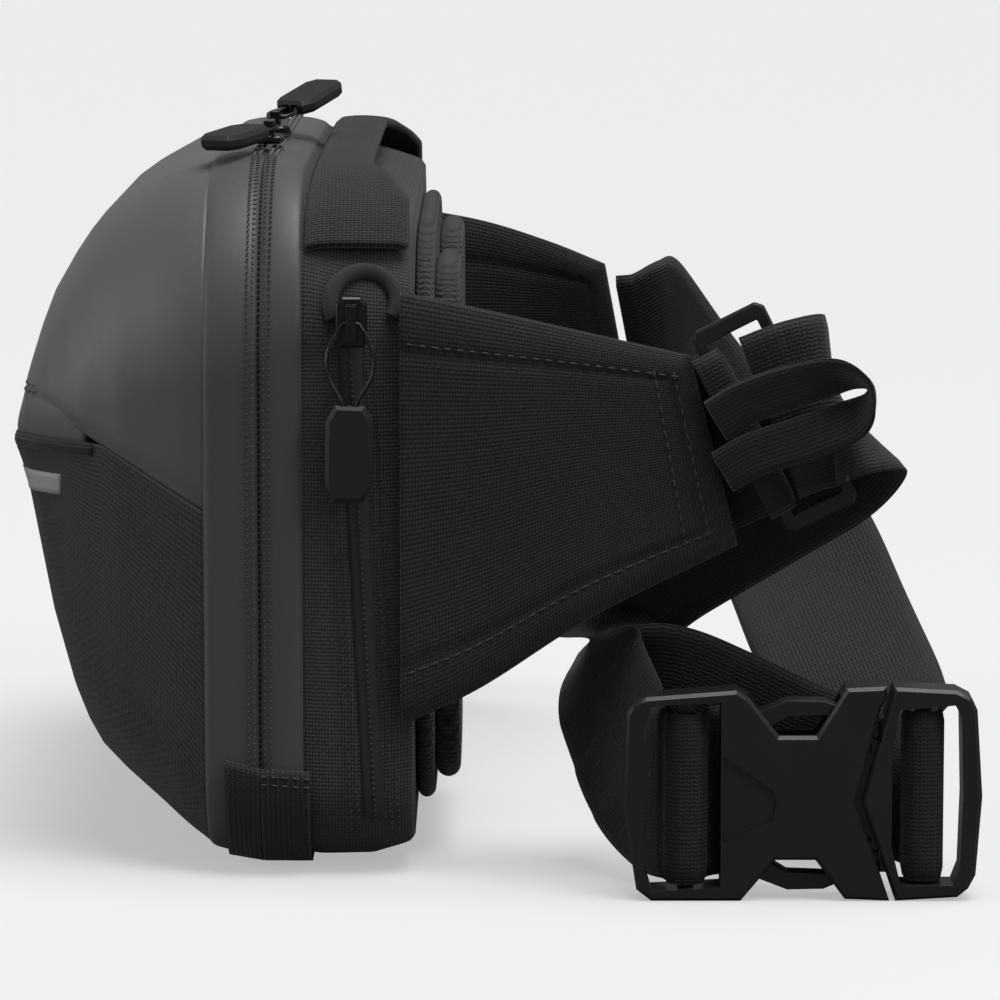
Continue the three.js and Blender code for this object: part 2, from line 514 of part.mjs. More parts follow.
// Each slider's place, its own up and outward axes, and the way its pull leans back to the bridge.
const SLIDERS = {
  side_slider_left: { at: [142.4, 9, 157], up: [0, 0, 1], face: [1, 0, 0], pullUp: [0, 0.02, 1], loop: 22, wide: 1 },
  side_slider_right: { at: [-142.4, 9, 157], up: [0, 0, 1], face: [-1, 0, 0], pullUp: [0, 0.02, 1], loop: 22, wide: 1 },
  main_slider_near: {
    at: [62, -17, 200.9], up: [-1, 0, 0], face: [0, 0, 1], pullUp: [-0.87, 0.36, 0.07], loop: 9, wide: 0.62,
  },
  main_slider_far: { at: [20, -17, 200.9], up: [1, 0, 0], face: [0, 0, 1], pullUp: [0.85, -0.39, -0.2], loop: 9, wide: 0.62 },
};
const BRIDGE_HEIGHT = 4.7; // the cord's turning point above the slider's underside
for (const [name, slider] of Object.entries(SLIDERS)) {
  const bridge = new THREE.Vector3(...slider.face).setLength(BRIDGE_HEIGHT).add(new THREE.Vector3(...slider.at));
  const hang = (geometry) => place(geometry, bridge.toArray(), slider.pullUp, slider.face);
  add(name, place(sliderBody(), slider.at, slider.up, slider.face), "metal");
  add(name.replace("slider", "pull_cord"), hang(pullLoop(slider.loop, slider.wide)), "cord");
  add(name.replace("slider", "pull_tab"), hang(pullTab(slider.loop)), "rubber");
}

export default root;
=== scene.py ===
# %% [markdown]
# # A hip pack, sewn in mesh code
# The bag is a soft clamshell with a smooth coated front, a coarse woven body, padded wings and a webbing
# belt that ends in a side-release buckle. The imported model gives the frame: where each solid is and which
# body moves. Meshes are in metres and tables in millimetres, with +X towards the buckle's side, -Y to the
# bag's front and +Z up.

# %% The frame and its size
import math

import bmesh
import bpy
import numpy as np
from mathutils import Matrix, Vector


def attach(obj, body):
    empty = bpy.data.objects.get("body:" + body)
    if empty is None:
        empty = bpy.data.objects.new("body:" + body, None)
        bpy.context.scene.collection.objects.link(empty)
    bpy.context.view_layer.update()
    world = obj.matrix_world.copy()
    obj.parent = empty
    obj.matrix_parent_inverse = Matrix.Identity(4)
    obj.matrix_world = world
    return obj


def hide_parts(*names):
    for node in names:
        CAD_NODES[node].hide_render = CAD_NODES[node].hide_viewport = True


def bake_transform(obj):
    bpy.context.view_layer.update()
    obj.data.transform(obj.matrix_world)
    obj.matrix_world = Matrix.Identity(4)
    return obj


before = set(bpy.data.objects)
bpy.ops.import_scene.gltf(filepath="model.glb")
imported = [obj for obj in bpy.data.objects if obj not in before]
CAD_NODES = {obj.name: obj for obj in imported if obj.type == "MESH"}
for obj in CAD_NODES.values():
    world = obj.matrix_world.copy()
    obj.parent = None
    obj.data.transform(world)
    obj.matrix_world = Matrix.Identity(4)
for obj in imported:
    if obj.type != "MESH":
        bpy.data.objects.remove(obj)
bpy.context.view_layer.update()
MM = 0.001
BACKDROP = 0.848  # the tone the camera sees in the floor and the world

# %% [markdown]
# ## Camera, floor and light
# The bag stands on a pale sweep and is seen from its left side, a little from above, through a long lens. A
# sun lamp gives an even light over the whole floor, so the background keeps one tone. The floor is partly
# emission for the camera's rays: its shadow stays soft and pale, and no extra light falls on the dark
# cloth.

# %% Camera
camera_data = bpy.data.cameras.new("camera")
camera_data.sensor_width = 36
camera_data.lens = 5.04 * 36
camera = bpy.data.objects.new("camera", camera_data)
bpy.context.scene.collection.objects.link(camera)
aim = Vector((0.140, 0.050, 0.107))
camera.location = (1.5264, 0.050, 0.3018)
camera.rotation_euler = (aim - camera.location).to_track_quat("-Z", "Y").to_euler()
bpy.context.scene.camera = camera
bpy.context.scene.view_settings.view_transform = "Standard"

# %% A small builder for node materials
class Nodes:
    """Adds nodes to a tree and links them, so that a recipe reads as one line per step."""

    def __init__(self, tree):
        self.tree = tree

    def add(self, kind, inputs=None, **settings):
        node = self.tree.nodes.new(kind)
        for key, value in settings.items():
            setattr(node, key, value)
        for key, value in (inputs or {}).items():
            if isinstance(value, bpy.types.NodeSocket):
                self.tree.links.new(value, node.inputs[key])
            else:
                node.inputs[key].default_value = value
        return node

    def math(self, operation, a, b=0.0, clamp=False):
        node = self.add("ShaderNodeMath", {0: a, 1: b}, operation=operation)
        node.use_clamp = clamp
        return node.outputs[0]

    def mix(self, factor, a, b, blend="MIX"):
        node = self.add("ShaderNodeMix", data_type="RGBA", blend_type=blend)
        for index, value in ((0, factor), (6, a), (7, b)):
            if isinstance(value, bpy.types.NodeSocket):
                self.tree.links.new(value, node.inputs[index])
            else:
                node.inputs[index].default_value = value
        return node.outputs[2]


def new_material(name):
    material = bpy.data.materials.new(name)
    material.use_nodes = True
    material.node_tree.nodes.clear()
    return material, Nodes(material.node_tree)


def grey(value, warm=0.0):
    return (value * (1 + warm), value, value * (1 - warm), 1)


# %% Floor and world
def floor_material():
    material, n = new_material("pale_sweep")
    path = n.add("ShaderNodeLightPath")
    bounced = n.math("MAXIMUM", path.outputs["Is Diffuse Ray"], path.outputs["Is Glossy Ray"])
    paper = n.mix(bounced, grey(0.84), grey(0.2))
    diffuse = n.add("ShaderNodeBsdfDiffuse", {"Color": paper})
    glow = n.add("ShaderNodeEmission", {"Color": grey(BACKDROP), "Strength": 1.0})
    share = n.math("MULTIPLY", path.outputs["Is Camera Ray"], 0.5)
    both = n.add("ShaderNodeMixShader", {0: share, 1: diffuse.outputs[0], 2: glow.outputs[0]})
    n.add("ShaderNodeOutputMaterial", {0: both.outputs[0]})
    return material


floor_mesh = bpy.data.meshes.new("floor")
floor_mesh.from_pydata([(-30, -30, 0), (30, -30, 0), (30, 30, 0), (-30, 30, 0)], [], [(0, 1, 2, 3)])
floor = bpy.data.objects.new("floor", floor_mesh)
bpy.context.scene.collection.objects.link(floor)
floor.data.materials.append(floor_material())

world = bpy.data.worlds.new("studio")
bpy.context.scene.world = world
world.use_nodes = True
world.node_tree.nodes.clear()
wn = Nodes(world.node_tree)
path = wn.add("ShaderNodeLightPath")
soft = wn.add("ShaderNodeBackground", {"Color": grey(1.0), "Strength": 0.21})
pale = wn.add("ShaderNodeBackground", {"Color": grey(BACKDROP), "Strength": 1.0})
both = wn.add("ShaderNodeMixShader", {0: path.outputs["Is Camera Ray"], 1: soft.outputs[0],
                                      2: pale.outputs[0]})
wn.add("ShaderNodeOutputWorld", {0: both.outputs[0]})


# %% Lamps
def sun(name, strength, angle, direction):
    data = bpy.data.lights.new(name, "SUN")
    data.energy = strength
    data.angle = math.radians(angle)
    lamp = bpy.data.objects.new(name, data)
    bpy.context.scene.collection.objects.link(lamp)
    lamp.rotation_euler = Vector(direction).to_track_quat("-Z", "Y").to_euler()
    return lamp


def panel(name, power, size, place, towards):
    data = bpy.data.lights.new(name, "AREA")
    data.energy = power
    data.shape = "RECTANGLE"
    data.size, data.size_y = size
    lamp = bpy.data.objects.new(name, data)
    bpy.context.scene.collection.objects.link(lamp)
    lamp.location = place
    lamp.rotation_euler = (Vector(towards) - Vector(place)).to_track_quat("-Z", "Y").to_euler()
    return lamp


sun("overhead", 2.5, 40, (-0.10, -0.16, -1))
panel("front_rim", 5, (0.5, 1.0), (0.1, -1.6, 0.5), (0, -0.08, 0.12))
panel("buckle_side", 3.2, (0.4, 0.8), (0.7, 1.1, 0.9), (0.15, 0.12, 0.08))

# %% [markdown]
# ## Cloth and plastic
# Coarse nylon is a plain weave: warp and weft yarns pass over each other like a chessboard, and each yarn
# is a small rounded hump. The recipe folds a UV map that is laid out in metres into cells of one yarn, and
# works out the hump's height in each cell. That one height drives the bump and the colour: painted shade
# darkens the gaps between yarns and a painted highlight lightens the yarn tops.

# %% The yarn height of a plain weave
def weave_height(n, uv, warp, weft):
    """Height from 0 to 1 of a plain weave, with yarns that far apart in metres along u and v."""
    split = n.add("ShaderNodeSeparateXYZ", {0: uv})
    across = n.math("DIVIDE", split.outputs[0], warp)
    along = n.math("DIVIDE", split.outputs[1], weft)
    fold = [n.math("SUBTRACT", n.math("FRACT", value), 0.5) for value in (across, along)]
    hump = [n.math("COSINE", n.math("MULTIPLY", value, math.pi)) for value in fold]
    cells = n.math("ADD", n.math("FLOOR", across), n.math("FLOOR", along))
    even = n.math("MULTIPLY", n.math("FLOOR", n.math("MULTIPLY", cells, 0.5)), 2.0)
    over = n.math("ABSOLUTE", n.math("SUBTRACT", cells, even))
    warp_up = n.math("MULTIPLY", hump[0], n.math("ADD", n.math("MULTIPLY", hump[1], 0.55), 0.45))
    weft_up = n.math("MULTIPLY", hump[1], n.math("ADD", n.math("MULTIPLY", hump[0], 0.55), 0.45))
    first = n.math("MULTIPLY", over, warp_up)
    second = n.math("MULTIPLY", n.math("SUBTRACT", 1.0, over), weft_up)
    return n.math("ADD", first, second)


def finish_cloth(n, height, color, depth, rough, noise_scale=900, sheen=0.15, gap=0.35, patchy=0.25):
    """Turns a height into a cloth surface: painted shade in the gaps, a painted highlight on the yarn tops, a
    little cloudiness.
    """
    place = n.add("ShaderNodeTexCoord").outputs["Object"]
    cloud = n.add("ShaderNodeTexNoise", {"Vector": place, "Scale": 28.0, "Detail": 3.0}).outputs[0]
    fine = {"Vector": place, "Scale": float(noise_scale), "Detail": 2.0}
    fibre = n.add("ShaderNodeTexNoise", fine).outputs[0]
    # painted shade and highlight: the gaps between yarns get a darker colour and the yarn tops a lighter one
    lit = n.mix(height, grey(color * gap), grey(color * 1.25))
    fuzz = n.mix(fibre, grey(0.72), grey(1.28))
    toned = n.mix(1.0, lit, fuzz, "MULTIPLY")
    clouds = n.mix(cloud, grey(1 - patchy), grey(1 + patchy))
    toned = n.mix(1.0, toned, clouds, "MULTIPLY")
    relief = n.math("ADD", height, n.math("MULTIPLY", fibre, 0.25))
    bump = n.add("ShaderNodeBump", {"Height": relief, "Strength": 1.0, "Distance": depth})
    shader = n.add("ShaderNodeBsdfPrincipled", {
        "Base Color": toned, "Roughness": rough, "Sheen Weight": sheen, "Specular IOR Level": 0.2,
        "Sheen Roughness": 0.5, "Normal": bump.outputs[0]})
    n.add("ShaderNodeOutputMaterial", {0: shader.outputs[0]})


def uv_of(n):
    return n.add("ShaderNodeUVMap", uv_map="cloth").outputs[0]


def woven(name, color, yarn=0.00105, depth=0.00022, rough=0.8, **more):
    material, n = new_material(name)
    finish_cloth(n, weave_height(n, uv_of(n), yarn, yarn * 0.9), color, depth, rough, **more)
    return material


# %% Ribbed webbing
# Webbing is woven narrow, with cords along its length and tight picks across it, so its ribs follow the
# strap.
def webbing_material(name, color, rib=0.00115, pick=0.0009, rough=0.6):
    material, n = new_material(name)
    split = n.add("ShaderNodeSeparateXYZ", {0: uv_of(n)})
    zigzag = n.math("PINGPONG", n.math("DIVIDE", split.outputs[0], pick), 1.0)
    shifted = n.math("ADD", n.math("DIVIDE", split.outputs[1], rib), n.math("MULTIPLY", zigzag, 0.28))
    ribs = n.math("ABSOLUTE", n.math("SINE", n.math("MULTIPLY", shifted, math.pi)))
    beat = n.math("MULTIPLY", n.math("DIVIDE", split.outputs[0], pick), math.pi)
    picks = n.math("ABSOLUTE", n.math("SINE", beat))
    dip = n.math("ADD", n.math("MULTIPLY", picks, 0.35), 0.65)
    height = n.math("MULTIPLY", n.math("POWER", ribs, 0.6), dip)
    # painted shade in the grooves between ribs and picks, painted highlight on the rib tops
    finish_cloth(n, height, color, 0.00022, rough, noise_scale=1500, sheen=0.2, gap=0.3, patchy=0.15)
    return material


# %% Smooth coated laminate
def coated_material(name, color, rough=0.46):
    material, n = new_material(name)
    place = n.add("ShaderNodeTexCoord").outputs["Object"]
    grain = n.add("ShaderNodeTexVoronoi", {"Vector": place, "Scale": 2200.0}).outputs[0]
    slub = n.add("ShaderNodeTexNoise", {"Vector": place, "Scale": 700.0, "Detail": 3.0}).outputs[0]
    cloud = n.add("ShaderNodeTexNoise", {"Vector": place, "Scale": 14.0, "Detail": 2.0}).outputs[0]
    relief = n.math("ADD", n.math("MULTIPLY", grain, 0.6), slub)
    bump = n.add("ShaderNodeBump", {"Height": relief, "Strength": 0.35, "Distance": 0.00008})
    base = n.mix(cloud, grey(color * 0.9), grey(color * 1.1))
    base = n.mix(slub, base, grey(color * 1.15))
    gloss = n.math("ADD", n.math("MULTIPLY", slub, 0.12), rough - 0.06)
    shader = n.add("ShaderNodeBsdfPrincipled", {"Base Color": base, "Roughness": gloss, "Sheen Weight": 0.1,
                                                "Specular IOR Level": 0.5, "Normal": bump.outputs[0]})
    n.add("ShaderNodeOutputMaterial", {0: shader.outputs[0]})
    return material


# %% Moulded plastic, painted metal, rubber and the rest
def moulded_material(name, color, rough, fine=0.00003, metallic=0.0, spec=0.5, coat=0.0):
    material, n = new_material(name)
    place = n.add("ShaderNodeTexCoord").outputs["Object"]
    spark = n.add("ShaderNodeTexNoise", {"Vector": place, "Scale": 1800.0, "Detail": 2.0}).outputs[0]
    worn = n.add("ShaderNodeTexNoise", {"Vector": place, "Scale": 60.0, "Detail": 4.0}).outputs[0]
    bump = n.add("ShaderNodeBump", {"Height": spark, "Strength": 0.5, "Distance": fine})
    base = n.mix(worn, grey(color * 0.85), grey(color * 1.2))
    gloss = n.math("ADD", n.math("MULTIPLY", worn, 0.16), rough - 0.08)
    shader = n.add("ShaderNodeBsdfPrincipled", {"Base Color": base, "Roughness": gloss, "Metallic": metallic,
                                                "Specular IOR Level": spec, "Coat Weight": coat,
                                                "Normal": bump.outputs[0]})
    n.add("ShaderNodeOutputMaterial", {0: shader.outputs[0]})
    return material


CORDURA = woven("coarse_nylon", 0.062)
WING_CLOTH = woven("wing_nylon", 0.037, yarn=0.00098)
HANDLE_CLOTH = woven("handle_weave", 0.037, yarn=0.00085, depth=0.00032)
FELT = moulded_material("zip_hood", 0.035, 0.9, fine=0.0003)
LINING = woven("lining_nylon", 0.05, yarn=0.0006, depth=0.0001)
# the back mesh gets deeper painted shade in its open gaps
BACK_MESH = woven("back_mesh", 0.05, yarn=0.0016, depth=0.0004, gap=0.2)
WEBBING = webbing_material("belt_webbing", 0.017)
TAB_WEBBING = webbing_material("tab_webbing", 0.027, rib=0.0014)
COATED = coated_material("coated_panel", 0.092)
STRIP_COATED = coated_material("coated_strip", 0.07, rough=0.5)
STRIP_DARK = coated_material("embossed_strip", 0.06, rough=0.5)
TAPE = coated_material("zip_tape", 0.02, rough=0.6)
THREAD = moulded_material("sewing_thread", 0.045, 0.6)
REFLECTIVE = moulded_material("reflective_tape", 0.34, 0.55)
BUCKLE = moulded_material("buckle_plastic", 0.016, 0.34, spec=0.35)
GLOSS_METAL = moulded_material("black_metal", 0.02, 0.22, metallic=0.6)
RUBBER = moulded_material("pull_rubber", 0.02, 0.5, fine=0.00005, spec=0.3)
CORD_SKIN = moulded_material("pull_cord", 0.012, 0.3)
SHEET_PLASTIC = moulded_material("stiffener", 0.03, 0.5)

# %% [markdown]
# ## Turning points into cloth
# Most pieces are one grid of points: rows along one seam direction and columns along the other. A grid
# becomes cloth when it is given a thickness inwards and a UV map laid out in metres, so that yarns keep
# their size everywhere.

# %% Grid to solid cloth
def put_mesh(name, points, faces, uvs, material):
    mesh = bpy.data.meshes.new(name)
    mesh.from_pydata([tuple(p) for p in points], [], faces)
    layer = mesh.uv_layers.new(name="cloth")
    corner = np.zeros(len(mesh.loops), int)
    mesh.loops.foreach_get("vertex_index", corner)
    layer.data.foreach_set("uv", np.asarray(uvs, float)[corner].reshape(-1))
    mesh.polygons.foreach_set("use_smooth", [True] * len(mesh.polygons))
    mesh.materials.append(material)
    mesh.update()
    thing = bpy.data.objects.new(name, mesh)
    bpy.context.scene.collection.objects.link(thing)
    return thing


def lengths(grid):
    """UV in metres: v follows the rows, u the columns, both measured through the middle of the grid."""
    step_v = np.linalg.norm(np.diff(grid, axis=0), axis=2).mean(axis=1)
    step_u = np.linalg.norm(np.diff(grid, axis=1), axis=2).mean(axis=0)
    v = np.concatenate([[0], np.cumsum(step_v)])
    u = np.concatenate([[0], np.cumsum(step_u)])
    return np.stack(np.meshgrid(u, v), axis=-1)


def grid_normals(grid, closed=False):
    wrapped = np.concatenate([grid[:, -2:-1], grid, grid[:, 1:2]], axis=1) if closed else grid
    du = np.gradient(wrapped, axis=1)
    du = du[:, 1:-1] if closed else du
    dv = np.gradient(grid, axis=0)
    normal = np.cross(du, dv)
    return normal / np.maximum(np.linalg.norm(normal, axis=2, keepdims=True), 1e-9)


def cloth(name, grid, thickness, material, away_from, closed=False):
    """A solid sheet on a grid of points. Its outer face looks away from a point inside the bag."""
    grid = np.asarray(grid, float)
    rows, columns = grid.shape[:2]
    normal = grid_normals(grid, closed)
    facing = ((grid - np.asarray(away_from)) * normal).sum(axis=2).mean()
    flip = facing < 0
    if flip:
        normal = -normal
    inner = grid - normal * thickness
    points = np.concatenate([grid.reshape(-1, 3), inner.reshape(-1, 3)])
    flat = lengths(grid).reshape(-1, 2)
    index = np.arange(rows * columns).reshape(rows, columns)
    total = rows * columns
    a, b, c, d = index[:-1, :-1], index[:-1, 1:], index[1:, 1:], index[1:, :-1]
    outer = np.stack([a, b, c, d], axis=-1).reshape(-1, 4)
    if flip:
        outer = outer[:, ::-1]
    rim = []
    edges = [(index[0, :-1], index[0, 1:]), (index[-1, 1:], index[-1, :-1])]
    if not closed:
        edges += [(index[1:, 0], index[:-1, 0]), (index[:-1, -1], index[1:, -1])]
    for first, second in edges:
        quad = np.stack([second, first, first + total, second + total], axis=-1)
        rim.append(quad[:, ::-1] if flip else quad)
    faces = np.concatenate([outer, outer[:, ::-1] + total] + rim)
    made = put_mesh(name, points, faces.tolist(), np.concatenate([flat, flat]), material)
    merge(made, 1e-6)
    return made


def merge(thing, distance):
    shape = bmesh.new()
    shape.from_mesh(thing.data)
    bmesh.ops.remove_doubles(shape, verts=shape.verts, dist=distance)
    bmesh.ops.recalc_face_normals(shape, faces=shape.faces)
    shape.to_mesh(thing.data)
    shape.free()


def apply_modifiers(thing):
    baked = bpy.data.meshes.new_from_object(thing.evaluated_get(bpy.context.evaluated_depsgraph_get()))
    thing.modifiers.clear()
    thing.data = baked
    return thing


def dress(thing, body, slot, *nodes):
    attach(thing, body)
    if nodes:
        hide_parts(*nodes)
    print(thing.name, len(thing.data.polygons), "faces on", body)
    return thing


# %% Stitches and other small repeats
# One node group turns any path into a row of small rounded pieces, laid along the path or across it.
def repeat_tree(name, axis):
    tree = bpy.data.node_groups.new(name, "GeometryNodeTree")
    tree.interface.new_socket("Path", in_out="INPUT", socket_type="NodeSocketGeometry")
    for label in ("Pitch", "Along", "Across"):
        tree.interface.new_socket(label, in_out="INPUT", socket_type="NodeSocketFloat")
    tree.interface.new_socket("Thread", in_out="INPUT", socket_type="NodeSocketMaterial")
    tree.interface.new_socket("Row", in_out="OUTPUT", socket_type="NodeSocketGeometry")
    n = Nodes(tree)
    given = n.add("NodeGroupInput").outputs
    curve = n.add("GeometryNodeMeshToCurve", {0: given["Path"]})
    spaced = {"Curve": curve.outputs[0], "Length": given["Pitch"]}
    dots = n.add("GeometryNodeResampleCurve", spaced, mode="LENGTH")
    bead = n.add("GeometryNodeMeshUVSphere", {"Segments": 8, "Rings": 5, "Radius": 0.5})
    size = n.add("ShaderNodeCombineXYZ", {0: given["Along"], 1: given["Across"], 2: given["Across"]})
    run = n.add("GeometryNodeInputTangent")
    turn = n.add("FunctionNodeAlignRotationToVector", {"Vector": run.outputs[0]}, axis=axis)
    placed = n.add("GeometryNodeInstanceOnPoints", {"Points": dots.outputs[0], "Instance": bead.outputs[0],
                                                   "Rotation": turn.outputs[0], "Scale": size.outputs[0]})
    real = n.add("GeometryNodeRealizeInstances", {0: placed.outputs[0]})
    smooth = n.add("GeometryNodeSetShadeSmooth", {0: real.outputs[0]})
    painted = n.add("GeometryNodeSetMaterial", {"Geometry": smooth.outputs[0], "Material": given["Thread"]})
    n.add("NodeGroupOutput", {0: painted.outputs[0]})
    return tree


REPEAT = {"X": repeat_tree("along_the_path", "X"), "Y": repeat_tree("across_the_path", "Y")}


def row_of(name, paths, body, slot, pitch=0.0032, along=0.0023, across=0.0006, material=None, axis="X"):
    """Small rounded pieces along one or more paths, given as points in metres."""
    points, edges = [], []
    for path in paths:
        start = len(points)
        points += [tuple(p) for p in path]
        edges += [(k, k + 1) for k in range(start, len(points) - 1)]
    mesh = bpy.data.meshes.new(name)
    mesh.from_pydata(points, edges, [])
    thing = bpy.data.objects.new(name, mesh)
    bpy.context.scene.collection.objects.link(thing)
    modifier = thing.modifiers.new("row", "NODES")
    modifier.node_group = REPEAT[axis]
    values = {"Pitch": pitch, "Along": along, "Across": across, "Thread": material or THREAD}
    for item in modifier.node_group.interface.items_tree:
        if item.in_out == "INPUT" and item.name in values:
            modifier[item.identifier] = values[item.name]
    return dress(apply_modifiers(thing), body, slot)


# %% Rounded copies of moulded parts
def softened(node, width, material, body, slot, segments=3, angle=25):
    """The CAD part with its edges rounded by that many millimetres."""
    source = CAD_NODES[node]
    mesh = source.data.copy()
    mesh.transform(source.matrix_world)
    shape = bmesh.new()
    shape.from_mesh(mesh)
    bmesh.ops.remove_doubles(shape, verts=shape.verts, dist=1e-6)
    bmesh.ops.dissolve_limit(shape, angle_limit=math.radians(2), verts=shape.verts, edges=shape.edges)
    shape.to_mesh(mesh)
    shape.free()
    mesh.materials.clear()
    mesh.materials.append(material)
    mesh.polygons.foreach_set("use_smooth", [True] * len(mesh.polygons))
    thing = bpy.data.objects.new("soft_" + node, mesh)
    bpy.context.scene.collection.objects.link(thing)
    bevel = thing.modifiers.new("bevel", "BEVEL")
    bevel.width, bevel.segments, bevel.limit_method = width * MM, segments, "ANGLE"
    bevel.angle_limit = math.radians(angle)
    bevel.use_clamp_overlap = True
    normals = thing.modifiers.new("normals", "WEIGHTED_NORMAL")
    normals.keep_sharp = False
    return dress(apply_modifiers(thing), body, slot, node)


# %% [markdown]
# ## The bag's form
# A soft bag still has a form: at each distance from front to back its outline is a rounded rectangle. The
# table holds those outlines, close together where the form turns, and the form runs straight between them.

# %% Outlines from back to front
FORM = np.array([
    # y, half width, underside, top, lower and upper corner radius
    [26, 137, 6, 184, 22, 34], [14, 139.5, 2.6, 188, 24, 38], [4, 140.5, 2.5, 190.5, 24.5, 40],
    [-5, 141.5, 2.5, 196.5, 25, 46], [-17, 142, 2.5, 199, 26, 56], [-32, 141, 4.5, 197.5, 28, 58],
    [-45, 134, 15, 192.5, 30, 56], [-57, 127, 24, 186, 31, 54], [-64, 121.5, 30, 181, 31, 50],
    [-68, 118.5, 36.5, 176, 30, 47], [-72, 115, 46, 170, 28, 42], [-78, 109, 67, 159.5, 24, 34],
    [-81.5, 105, 85, 150, 20, 26], [-85, 100, 105, 137.5, 10, 12], [-87, 97, 112, 128.5, 6, 6],
    [-88.4, 95, 116, 123.5, 3, 3],
])
INSIDE = (0, -0.03, 0.1)  # a point inside the bag; every outer face looks away from it
SHELL = 0.0028  # the body's cloth with its foam
FRONT_SHELL = 0.0026


def outline_at(y):
    order = FORM[::-1]
    return [np.interp(y, order[:, 0], order[:, k]) for k in range(1, 6)]


def form_point(y, s, lift=0.0, raised=0.0):
    """A point of the bag's skin, in mm. s runs from 0 under the bag to 1 on top, negative on the right."""
    half, low, high, low_r, high_r = outline_at(y)
    if raised > high:
        high_r += raised - high
        high = raised
    side, t = (1 if s >= 0 else -1), abs(s)
    if t < 0.22:
        x, z, nx, nz = (half - low_r) * t / 0.22, low, 0, -1
    elif t < 0.34:
        a = (t - 0.22) / 0.12 * math.pi / 2
        nx, nz = math.sin(a), -math.cos(a)
        x, z = half - low_r + low_r * nx, low + low_r + low_r * nz
    elif t < 0.62:
        x, nx, nz = half, 1, 0
        z = low + low_r + (high - high_r - low - low_r) * (t - 0.34) / 0.28
    elif t < 0.80:
        a = (t - 0.62) / 0.18 * math.pi / 2
        nx, nz = math.cos(a), math.sin(a)
        x, z = half - high_r + high_r * nx, high - high_r + high_r * nz
    else:
        x, z, nx, nz = (half - high_r) * (1 - t) / 0.20, high, 0, 1
    return np.array([side * (x + lift * nx), y, z + lift * nz])


def height_to_s(y, z):
    """The place on the left side's outline at that height."""
    low, high = 0.0, 1.0
    for _ in range(40):
        middle = (low + high) / 2
        if form_point(y, middle)[2] < z:
            low = middle
        else:
            high = middle
    return (low + high) / 2


def skin_grid(ys, columns, lift):
    """Points over the bag for rows of y and, in each row, columns of s. lift is in mm, a number or a rule."""
    grid = np.zeros((len(ys), len(columns(ys[0])), 3))
    for i, y in enumerate(ys):
        for j, s in enumerate(columns(y)):
            up = lift(i / (len(ys) - 1), j / (grid.shape[1] - 1)) if callable(lift) else lift
            grid[i, j] = form_point(y, s, up)
    return grid * MM


def even_ring(count):
    """s values round the whole outline, spread evenly by length."""
    fine = np.linspace(-1, 1, 1600)
    points = np.array([form_point(-10, s) for s in fine])
    run = np.concatenate([[0], np.cumsum(np.linalg.norm(np.diff(points, axis=0), axis=1))])
    return np.interp(np.linspace(0, run[-1], count), run, fine)


RING = even_ring(360)
steps = np.diff([form_point(-10, s) for s in RING], axis=0)
print("the outline is", round(np.linalg.norm(steps, axis=1).sum()), "mm round")

# %% [markdown]
# ## Body cloth and coated band
# The rear body is coarse nylon over foam. The band round the bag is coated and holds the main zip in its
# middle: each half sinks into the seam at its outer edge and rolls over again beside the zip.

# %% Rear body
def seam_roll(t, depth, reach=0.12):
    """A soft sink towards both edges of a piece, in mm."""
    edge = min(t, 1 - t) / reach
    return -depth * math.exp(-edge * edge * 2.0)


rear_rows = np.concatenate([np.linspace(-5.2, 24.5, 22), [25.3, 25.8]])


def rear_lift(i, _):
    """The body's last two rows turn in towards the back."""
    return seam_roll(i, 0.8) - (0.9 if i > 0.99 else 0.3 if i > 0.95 else 0)


rear = skin_grid(rear_rows, lambda y: RING, rear_lift)
dress(cloth("rear_body", rear, SHELL, CORDURA, INSIDE, closed=True), "bag", "cordura", "rear_tub")

back_wall = np.array([[form_point(25.9, s) * (k, 1, k) + (0, 0, 97 * (1 - k)) for s in RING]
                      for k in np.linspace(0.985, 0.02, 12)]) * MM
dress(cloth("back_wall", back_wall, 0.002, CORDURA, (0, 0, 0.1), closed=True), "bag", "cordura")

# %% Coated band, both halves
for name, rows, node, body in (("band_rear", np.linspace(-5.0, -16.75, 12), "gusset_rear", "bag"),
                               ("band_front", np.linspace(-17.25, -32.6, 14), "gusset_front", "front")):
    band = skin_grid(rows, lambda y: RING, lambda i, j: 0.7 * math.sin(math.pi * i) + seam_roll(i, 0.7, 0.1))
    dress(cloth(name, band, SHELL, STRIP_COATED, INSIDE, closed=True), body, "coated_fabric", node)

# %% Zip under the band's slit
for name, y0, y1, node, body in (("zip_chain_rear", -14.2, -16.8, "main_zip_rear", "bag"),
                                 ("zip_chain_front", -17.2, -19.8, "main_zip_front", "front")):
    chain = skin_grid(np.linspace(y0, y1, 4), lambda y: RING, -1.2)
    dress(cloth(name, chain, 0.0008, TAPE, INSIDE, closed=True), body, "zip_tape", node)

# %% Embossed dashes beside the zip's slit
def ring_path(y, lift):
    return [form_point(y, s, lift) * MM for s in RING]


for name, body, near, far in (("zip_dashes_rear", "bag", -15.5, -13.9),
                              ("zip_dashes_front", "front", -18.5, -20.1)):
    row_of(name, [ring_path(near, 0.95), ring_path(far, 1.0)], body, "coated_fabric",
           pitch=0.0019, along=0.0014, across=0.0006, material=STRIP_DARK, axis="Y")
row_of("zip_teeth", [ring_path(-16.9, -1.0)], "bag", "zip_tape", pitch=0.0017, along=0.0011,
       across=0.0009, material=TAPE)

# %% [markdown]
# ## The front: a coated panel over a woven pocket
# The upper panel is one smooth sheet whose lower edge slants down to the band on both sides. Below it lies
# the pocket, and between the two, across the front, a coated flap shuts the pocket's mouth.

# %% Seams of the front
def panel_seam(y):
    return np.interp(-y, [0, 28, 76, 89], [101, 101, 128, 136])


